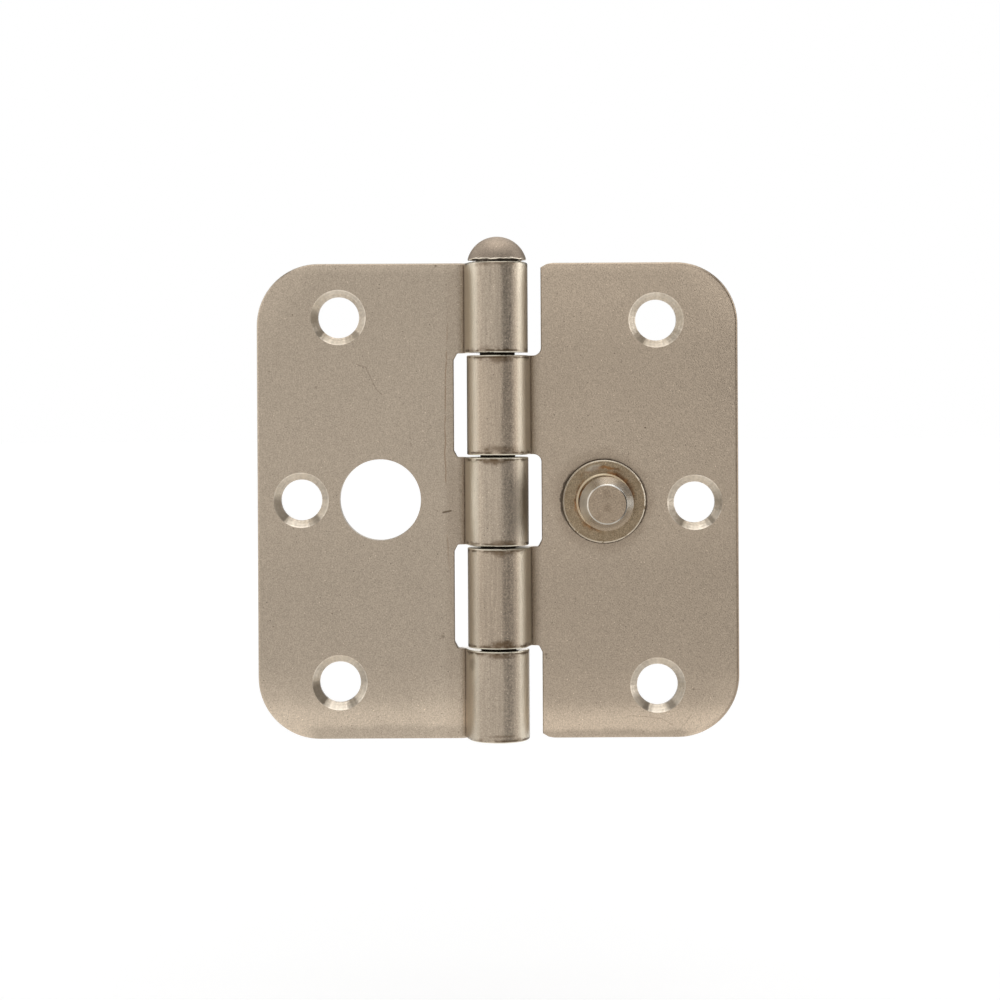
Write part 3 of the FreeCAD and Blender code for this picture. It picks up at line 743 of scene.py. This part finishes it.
# %% Marks of the frame leaf
CRANK_BROWN = (0.20, 0.120, 0.066)
FRAME_SCRATCH = ((-26.1, 69.7), (-24.5, 69.2), (-22.6, 65.1), (-21.5, 64.1))
FRAME_NICK = ((-10.2, 42.1), (-8.8, 42.4))
FRAME_PITS = (
    (-38.1, 79.0, 0.20, 0.6), (-42.5, 68.5, 0.25, 0.4), (-11.4, 88.0, 0.30, 0.6), (-16.2, 54.8, 0.35, 0.3),
    (-33.8, 65.5, 0.40, 0.25), (-10.4, 19.0, 0.50, 0.4), (-10.3, 19.6, 0.24, 0.4), (-10.9, 18.6, 0.24, 0.4),
    (-31.0, 23.4, 0.2, 0.6), (-41.9, 21.0, 0.2, 0.5),
)
FRAME_STAINS = (
    (-0.8, 51.7, 3.6, 0.9, 0.80), (0.8, 36.8, 3.6, 0.8, 0.60), (0.5, 15.9, 4.2, 0.6, 0.60),
    (-5.2, 14.4, 1.3, 1.7, 0.45), (-2.2, 72.6, 1.6, 0.8, 0.25), (0.5, 1.3, 3.8, 0.35, 0.5),
)


def frame_marks(finish, painted):
    """The curved brown line along the crank, a scratch, a nick, pits and stains."""
    above = finish.z - 56.0
    line_at = finish.x + 9.8 - above * above * 0.0012 + wobble(finish.place, 0.25) * 0.6
    crank_line = stripe(line_at, 0.0, 0.18) * stripe(finish.z, 55.0, 31.0)
    crank_line = crank_line * smooth(abs(finish.z - 42.5), 4.0, 5.5)
    crank_line = crank_line * smooth(noise(finish.place, 0.45, 3.0), 0.36, 0.52)
    painted = blend(crank_line * 0.55, painted, CRANK_BROWN)
    painted = blend(scratch(finish, FRAME_SCRATCH, 0.16) * 0.30, painted, DIRT)
    painted = blend(scratch(finish, FRAME_NICK, 0.26) * 0.8, painted, DIRT)
    return stained(finish, pitted(finish, painted, FRAME_PITS), FRAME_STAINS)


FRAME_COLOUR = (0.395, 0.327, 0.254)
FRAME_ENDS = (0.0, 16.8, 36.1, 52.4, 71.7, 88.5)
nodes["frame_leaf"].material_slots[0].material = leaf_steel(
    "tumbled_frame_leaf", FRAME_COLOUR, FRAME_ENDS, FRAME_LIGHT, 1.0, frame_marks,
)

# %% [markdown]
# ## Dirt and painted shadow around the collar
#
# On the door leaf the steel around the collar is darkened: a wide faint halo, darker arcs at the top and on
# the right, and a nearly black crevice where ring and leaf meet. They are partly grease that has crept out
# from under the collar and partly painted shadow. The renderer's own shadow in that corner would be too soft
# and too grey. So the distance from the collar's axis and the clock angle around it decide how dark the steel
# is.

# %% Marks of the door leaf


def middle_of(name):
    """Where a piece stands on the leaf: the middle of its box, x and z in millimetres."""
    low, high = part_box(name)
    middle = (low + high) / 2 / MM
    return middle.x, middle.z


COLLAR_AT = middle_of("stud_collar")
CREVICE = (0.035, 0.024, 0.015)
DOOR_ARC = ((24.0, 4.1), (27.2, 3.9), (30.3, 3.5), (32.4, 2.3))
DOOR_DIAGONAL = ((34.4, 2.3), (35.2, 3.4), (35.8, 4.2))
DOOR_PITS = ((27.45, 57.7, 0.22, 0.8), (8.8, 15.6, 0.35, 0.5), (8.9, 14.9, 0.20, 0.5), (36.2, 8.95, 0.30, 0.4))
DOOR_STAINS = (
    (0.4, 70.4, 2.8, 0.9, 0.70), (0.4, 54.0, 4.6, 1.0, 0.60), (0.6, 34.9, 4.6, 0.5, 0.60),
    (0.6, 34.3, 1.5, 0.6, 0.5), (0.8, 18.2, 3.0, 1.1, 0.90),
)


def door_marks(finish, painted):
    """Dirt and painted shadow around the collar, a brown outer edge with painted shade, two scratches, pits
    and stains.
    """
    collar = finish.radius(*COLLAR_AT)
    clock = finish.clock(*COLLAR_AT)
    ragged = wobble(finish.place, 1.2) * 0.5
    # a brown halo, partly grease and partly painted shadow
    halo = smooth(collar + wobble(finish.place, 0.3) * 3.0, 10.6, 7.9)
    painted = blend(halo * 0.24, painted, BROWN)
    # a brown line along the right edge, partly painted shade
    shaded_outer_edge = smooth(edge_distance(finish) + ragged * 0.4, 0.75, 0.30) * smooth(finish.x, 36.0, 42.0)
    painted = blend(shaded_outer_edge * 0.42, painted, BROWN)
    shadowed_dirty_arcs = stripe(clock, -15.0, 50.0) * 0.7 + stripe(clock, 100.0, 40.0) * 0.6
    grime = smooth(collar + ragged, 8.4, 7.8) * shadowed_dirty_arcs
    # darker arcs at the top and on the right: painted shadow and grime
    painted = blend(grime * 0.5, painted, DIRT)
    all_round = stripe(collar + ragged * 0.5, 7.78, 0.20)
    on_left = stripe(collar + ragged * 1.6, 7.95, 0.34) * stripe(clock, -80.0, 50.0)
    on_right = stripe(collar + ragged * 0.6, 7.90, 0.30) * stripe(clock, 88.0, 52.0) * 0.8
    crevice = (all_round + on_left + on_right).math("MINIMUM", 1.0)
    # a nearly black crevice: painted shadow where ring and leaf meet, with grease
    painted = blend(crevice * 0.8, painted, CREVICE)
    scratches = scratch(finish, DOOR_ARC, 0.14).math("MAXIMUM", scratch(finish, DOOR_DIAGONAL, 0.14))
    painted = blend(scratches * 0.22, painted, DIRT)
    return stained(finish, pitted(finish, painted, DOOR_PITS), DOOR_STAINS)


DOOR_COLOUR = (0.400, 0.325, 0.248)
DOOR_ENDS = (17.25, 35.65, 52.85, 71.25)
nodes["door_leaf"].material_slots[0].material = leaf_steel(
    "tumbled_door_leaf", DOOR_COLOUR, DOOR_ENDS, DOOR_LIGHT, 0.0, door_marks,
)

# %% [markdown]
# ## The countersinks
#
# The screw holes were cut after the leaf was stamped, so they are bare and brighter. The cutter chattered:
# short radial facets cross the cone at the bottom, and fine rings run around it. Each hole also has painted
# light: a painted reflection of the top light on the cone's lower part, painted highlights along its rim and
# at its upper right, and painted shade in a dark arc on its left, a dark spot at its lower right and on its
# right side. Modelled facets would change the CAD solids, so facets and rings are sine waves, around the
# hole's axis and outwards from it. Every hole gets a material of its own, and the faces that lie within the
# cone's rim take it.

# %% Bare steel in the screw holes
BARE = (0.62, 0.555, 0.468)
SHADE_BROWN = (0.20, 0.155, 0.11)
SINK_RADIUS = 5.15


def cut_steel(name, x, z, dark_arc, shade, dark_spot, dull):
    """Bare steel of one countersink, with painted light and shade. The arc is two angles, the dark spot an
    angle, a reach and a depth.
    """
    finish = Finish(name)
    radius = finish.radius(x, z)
    clock = finish.clock(x, z)
    uneven = wobble(finish.place, 1.2)
    fine = wobble(finish.place, 3.0, 3.0)
    start, stop = dark_arc
    spot_at, spot_reach, spot_depth = dark_spot
    # painted reflection of the top light on the cone's lower part
    lower = smooth(abs(clock), abs(stop) - 1.0, abs(stop) + 4.0)
    chatter = (clock * 0.42 + uneven * 5.0).math("SINE") * (clock * 0.153 + 1.3).math("SINE")
    rings = (radius * 13.0 + uneven * 4.0).math("SINE") * smooth(uneven, -0.15, 0.15)
    # painted highlight along the rim
    rim = stripe(radius, SINK_RADIUS - 0.08, 0.16)
    # painted shade in a dark arc on the left
    after_stop = smooth(clock + uneven * 6.0, stop - 3.0, stop + 2.0)
    dark_arc_shade = smooth(clock + uneven * 10.0, start, start - 24.0) * after_stop
    # painted shade in a dark spot at the lower right
    cut = stripe(clock + uneven * 8.0, spot_at, spot_reach)
    # painted shade on the right side
    shaded_right_side = stripe(clock, 100.0, 50.0)
    tone = 1.0 + fine * 0.45 + rings * (0.05 + lower * 0.07)
    tone = tone + chatter * (0.06 + lower * 0.08 - dark_arc_shade * 0.03)
    # painted highlights on the rim and upper right, and the painted reflection below
    tone = tone + rim * 0.12 + lower * 0.20 + stripe(clock, 54.0, 30.0) * 0.07
    tone = tone * (1.0 - dark_arc_shade * shade) * (1.0 - cut * spot_depth) * (1.0 - shaded_right_side * dull)
    # the painted dark arc and spot are tinted brown
    sink_colour = blend(dark_arc_shade.math("MAXIMUM", cut) * 0.35, dimmed(BARE, tone), SHADE_BROWN)
    relief = rings * 0.006 + chatter * 0.010 + fine * 0.008
    return finish.finish(sink_colour, 0.30 + uneven * 0.1, relief)


print(f"countersinks: {2 * SINK_RADIUS} mm across")

# %% Six holes
# x and z in millimetres, the painted dark arc and how dark it is, the painted dark spot, and how much painted
# shade darkens the right side
HOLES = {
    "frame_leaf": (
        (-29.6, 78.5, (-64, -136), 0.38, (136, 12, 0.12), 0.00),
        (-36.65, 44.5, (-72, -140), 0.42, (142, 12, 0.32), 0.05),
        (-29.6, 10.5, (-78, -142), 0.56, (146, 13, 0.28), 0.08),
    ),
    "door_leaf": (
        (29.6, 77.75, (-104, -150), 0.22, (120, 10, 0.06), 0.06),
        (36.65, 43.75, (-92, -150), 0.31, (136, 8, 0.17), 0.22),
        (29.6, 9.75, (-102, -157), 0.48, (146, 15, 0.24), 0.20),
    ),
}
FLAT_FACE = 0.95

for leaf_name, holes in HOLES.items():
    mesh = nodes[leaf_name].data
    for number, hole in enumerate(holes, start=1):
        mesh.materials.append(cut_steel(f"cut_steel_{leaf_name}_{number}", *hole))
    cut_faces = 0
    for face in mesh.polygons:
        spot = face.center / MM
        for number, hole in enumerate(holes, start=1):
            if math.hypot(spot.x - hole[0], spot.z - hole[1]) < SINK_RADIUS and abs(face.normal.y) < FLAT_FACE:
                face.material_index = number
                cut_faces += 1
    print(f"{leaf_name}: {cut_faces} faces of bare steel in {len(holes)} holes")

# %% [markdown]
# ## The loose pin
#
# Only the domed head shows while the pin is in. It is tumbled like the leaves, but duller, and painted shade
# darkens it near its foot. The shank comes into view when the pin is lifted: a real one is dark with old
# grease at the knuckles' gaps and rubbed along its length between them. Here that dark grease also stands in
# as painted shade in the gaps. One finish covers both, split at the height of the head's foot, so the pin
# stays one piece with one material.

# %% The loose pin
PIN_COLOUR = (0.475, 0.388, 0.305)
GREASE_AND_SHADE = (0.030, 0.024, 0.018)
WORN = (0.24, 0.205, 0.165)
GAPS = (17.0, 35.9, 52.6, 71.5)
HEAD_FOOT = 89.0
pin_finish = Finish("tumbled_pin")
pin_tone, pin_relief = grain(pin_finish)
in_barrel = smooth(pin_finish.z, HEAD_FOOT + 0.02, HEAD_FOOT - 0.02)
worn = smooth(noise(stretched(pin_finish.place, 0.5, 0.5, 0.1), 1.0, 3.0), 0.45, 0.7)
# dark grease at the gaps, which also serves as painted shade there
greased_and_shaded = smooth(nearest_height(pin_finish, GAPS), 2.6, 0.7)
shank_colour = blend((0.35 + worn * 0.65) * (1.0 - greased_and_shaded), GREASE_AND_SHADE, WORN)
# painted shade darkens the dome near its foot
dome_shade = 0.60 + smooth(pin_finish.z, 89.3, 92.0) * 0.36
pin_colour = blend(in_barrel, dimmed(PIN_COLOUR, pin_tone * dome_shade), shank_colour)
nodes["hinge_pin"].material_slots[0].material = pin_finish.finish(pin_colour, 0.55, pin_relief)

# %% [markdown]
# ## The security stud
#
# The stud was turned on a lathe, so its tapered side shines and carries very fine grooves. Its flat tip is
# tumbled and brownish, and behind the leaf its foot is hammered flat into a seat. Turned metal could be made
# with one anisotropic shader, but the photograph shows clear bright and dull parts around the taper, which
# come from a small studio close by. So they are placed by their clock angle around the stud.

# %% The stud's turned side
STUD_AT = middle_of("security_stud")
STUD_COLOUR = (0.58, 0.535, 0.465)
WINDOW_LIGHT = (0.97, 0.96, 0.93)
TIP_RADIUS = 3.65
stud_finish = Finish("turned_stud")
stud_radius = stud_finish.radius(*STUD_AT)
stud_clock = stud_finish.clock(*STUD_AT)
grooves = (stud_finish.y * 24.0 + stud_radius * 16.0).math("SINE")
brushed = wobble(stretched(stud_finish.place, 0.9, 2.4, 0.9), 1.0)
top_glint = stripe(stud_clock, 14.0, 38.0) * 0.72
glint = top_glint - stripe(stud_clock, 66.0, 26.0) * 0.22 - stripe(stud_clock, 112.0, 40.0) * 0.14
left_side = stripe(stud_clock, -82.0, 62.0)
low_side = smooth(abs(stud_clock), 92.0, 124.0) * smooth(stud_radius, 4.1, 4.7)
tip_rim = smooth(stud_radius, TIP_RADIUS + 0.12, TIP_RADIUS - 0.02)
rim_fade = tip_rim * (0.25 + stripe(stud_clock, 92.0, 70.0) * 0.45)
side_tone = 1.0 + brushed * 0.34 + grooves * 0.05 + glint + left_side * 0.44 + low_side * 0.34 - rim_fade
window = stripe(stud_clock, 24.0, 32.0) * smooth(stud_radius, 4.3, 4.0) * 0.85
sheen = stripe(stud_clock, 8.0, 44.0) * smooth(stud_radius, 5.0, 4.5) * 0.35
side_colour = blend(window.math("MAXIMUM", sheen), dimmed(STUD_COLOUR, side_tone), WINDOW_LIGHT)
print(f"stud at {STUD_AT[0]:.2f}, {STUD_AT[1]:.2f} mm, its tip {2 * TIP_RADIUS} mm across")

# %% The stud's riveted foot and flat tip
TIP_COLOUR = (0.335, 0.262, 0.190)
RIVET_RADIUS = 4.6
stud_tone, stud_relief = grain(stud_finish, 1.2)
riveted = smooth(stud_finish.y, 0.6, 1.4)
hammered = wobble(stud_finish.place, 1.1)
rivet_colour = dimmed(STUD_COLOUR, 0.64 + hammered * 0.5 + (stud_tone - 1.0) * 0.6)
seam = smooth(stud_radius + hammered * 0.3, RIVET_RADIUS - 0.26, RIVET_RADIUS - 0.10) * riveted
side_colour = blend(seam * 0.75, blend(riveted, side_colour, rivet_colour), DIRT)
blotches = smooth(noise(stud_finish.place, 0.5, 3.0), 0.5, 0.7)
tip_colour = blend(blotches * 0.3, dimmed(TIP_COLOUR, stud_tone), BROWN)
inside_tip = smooth(stud_radius, TIP_RADIUS - 0.08, TIP_RADIUS - 0.26)
tip_face = smooth(stud_finish.normal[1], -0.80, -0.97) * inside_tip
stud_roughness = 0.24 + tip_face * 0.12 + left_side * (1.0 - tip_face) * 0.16 + riveted * 0.16
side_relief = grooves * (1.0 - tip_face) * (1.0 - riveted) * 0.002
nodes["security_stud"].material_slots[0].material = stud_finish.finish(
    blend(tip_face, side_colour, tip_colour), stud_roughness,
    stud_relief * tip_face + (hammered * 0.03 + stud_relief) * riveted + side_relief,
)

# %% [markdown]
# ## The collar and its rust
#
# The ring around the stud's foot is dull and brown. Rust creeps out of its bore, mostly at the upper right,
# and a pale smear crosses it at the top. Its raised lip and its outer edge carry painted highlights, the
# edge's highlight broken by nicks, and its side wall takes painted shade. Rust is often made from noise alone,
# but here it starts at the bore and fades outward. So the distance from the stud's axis decides how much there
# is, and noise only frays its border.

# %% Rust around the bore
COLLAR_COLOUR = (0.272, 0.208, 0.135)
RUST = (0.13, 0.055, 0.020)
RUST_BRIGHT = (0.34, 0.16, 0.055)
FILM = (0.17, 0.115, 0.065)
SMEAR = (0.43, 0.375, 0.30)
collar_finish = Finish("stained_collar")
collar_tone, collar_relief = grain(collar_finish, 1.6)
collar_radius = collar_finish.radius(*COLLAR_AT)
collar_clock = collar_finish.clock(*COLLAR_AT)
fraying = wobble(collar_finish.place, 0.8, 3.0) * 1.6
blots = noise(collar_finish.place, 0.6, 3.0)
frayed = collar_radius + fraying
rust_upper = smooth(frayed, 6.3, 5.2) * stripe(collar_clock, 46.0, 62.0)
rust_top = stripe(frayed, 6.35, 0.35) * stripe(collar_clock, -2.0, 46.0) * 0.8
rust_left = smooth(frayed, 5.8, 5.2) * stripe(collar_clock, -85.0, 55.0) * 0.8
rust_low = smooth(frayed, 6.1, 5.3) * stripe(collar_clock, -152.0, 26.0) * 0.8
rust = rust_upper.math("MAXIMUM", rust_top).math("MAXIMUM", rust_left).math("MAXIMUM", rust_low)
rust_colour = blend(smooth(blots, 0.42, 0.58), RUST, RUST_BRIGHT)
film = smooth(blots, 0.42, 0.72) * 0.45
collar_colour = blend(film, dimmed(COLLAR_COLOUR, collar_tone), FILM)
collar_colour = blend(rust * 0.85, collar_colour, rust_colour)
smear = stripe(collar_radius + fraying * 0.3, 6.55, 0.7) * stripe(collar_clock, -18.0, 17.0)
collar_colour = blend(smear * 0.7, collar_colour, SMEAR)
print(f"collar at {COLLAR_AT[0]:.2f}, {COLLAR_AT[1]:.2f} mm, rust in four places")

# %% Lip and outer edge of the collar
LIP_OUTSIDE = 5.14
LIP_HIGHLIGHT = (0.78, 0.66, 0.48)
EDGE_HIGHLIGHT = (0.66, 0.58, 0.47)
# a painted highlight on the raised lip
lip = stripe(collar_radius, LIP_OUTSIDE - 0.14, 0.28)
collar_colour = blend(lip * 0.85, collar_colour, LIP_HIGHLIGHT)
# a painted highlight on the outer edge, broken by nicks
rim = smooth(collar_radius, 7.42, 7.52) * smooth(collar_finish.normal[1], -0.2, -0.45)
nicks = smooth(noise(collar_finish.place, 0.9), 0.58, 0.66)
collar_colour = blend(rim * (1.0 - nicks), collar_colour, EDGE_HIGHLIGHT)
# painted shade on the collar's side wall
shaded_collar_wall = smooth(collar_radius, 7.58, 7.66) * smooth(collar_finish.normal[1], -0.45, -0.2)
collar_colour = blend(shaded_collar_wall, collar_colour, DIRT)
nodes["stud_collar"].material_slots[0].material = collar_finish.finish(
    collar_colour, 0.42 + rust * 0.3, collar_relief + rust * fraying * 0.02,
)

# %% [markdown]
# ## A thin burr under the pin's head
#
# The die that formed the head squeezed a thin, wavy flash out around its rim. A displaced torus would do, but
# its section would be round. Here a small section of six corners is swept around the pin, and three sine
# waves lift it up and down unevenly. It is a part of the pin, so it rides with it.

# %% The burr's shape
BURR_STEPS = 144
BURR_MIDDLE = 5.34
BURR_LIFT = 0.03
BURR_SECTION = ((-0.16, 0.02), (-0.05, 0.13), (0.08, 0.11), (0.13, -0.02), (0.05, -0.12), (-0.10, -0.09))
SECTION_WIDTH = 0.8


def burr_wave(angle):
    """Height of the flash in millimetres at an angle around the pin: waves of 5, 13 and 29 to the turn."""
    return 0.06 * math.sin(5 * angle + 0.6) + 0.04 * math.sin(13 * angle + 2.1) + 0.03 * math.sin(29 * angle)


burr_points = []
burr_faces = []
count = len(BURR_SECTION)
for step in range(BURR_STEPS):
    angle = 2 * math.pi * (step / BURR_STEPS)
    lift = HEAD_FOOT + BURR_LIFT + burr_wave(angle)
    swell = 1.0 + 0.25 * math.sin(11 * angle + 1.0)
    for out, up in BURR_SECTION:
        reach = (BURR_MIDDLE + out * SECTION_WIDTH) * MM
        burr_points.append((reach * math.cos(angle), reach * math.sin(angle), (lift + up * swell) * MM))
    here, following = step * count, (step + 1) % BURR_STEPS * count
    for corner in range(count):
        after = (corner + 1) % count
        burr_faces.append((here + corner, following + corner, following + after, here + after))
burr_mesh = bpy.data.meshes.new("pin_head_burr")
burr_mesh.from_pydata(burr_points, [], burr_faces)
burr_mesh.shade_smooth()
burr = bpy.data.objects.new("pin_head_burr", burr_mesh)
bpy.context.scene.collection.objects.link(burr)
print(f"burr: {len(burr_faces)} faces")

# %% The burr's steel
BURR_COLOUR = (0.72, 0.64, 0.53)
burr_finish = Finish("bare_burr")
burr_grain = wobble(burr_finish.place, 2.5)
burr_colour = dimmed(BURR_COLOUR, 1.0 + burr_grain * 1.4)
burr_mesh.materials.append(burr_finish.finish(burr_colour, 0.32, burr_grain * 0.03))
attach(burr, "loose_pin")
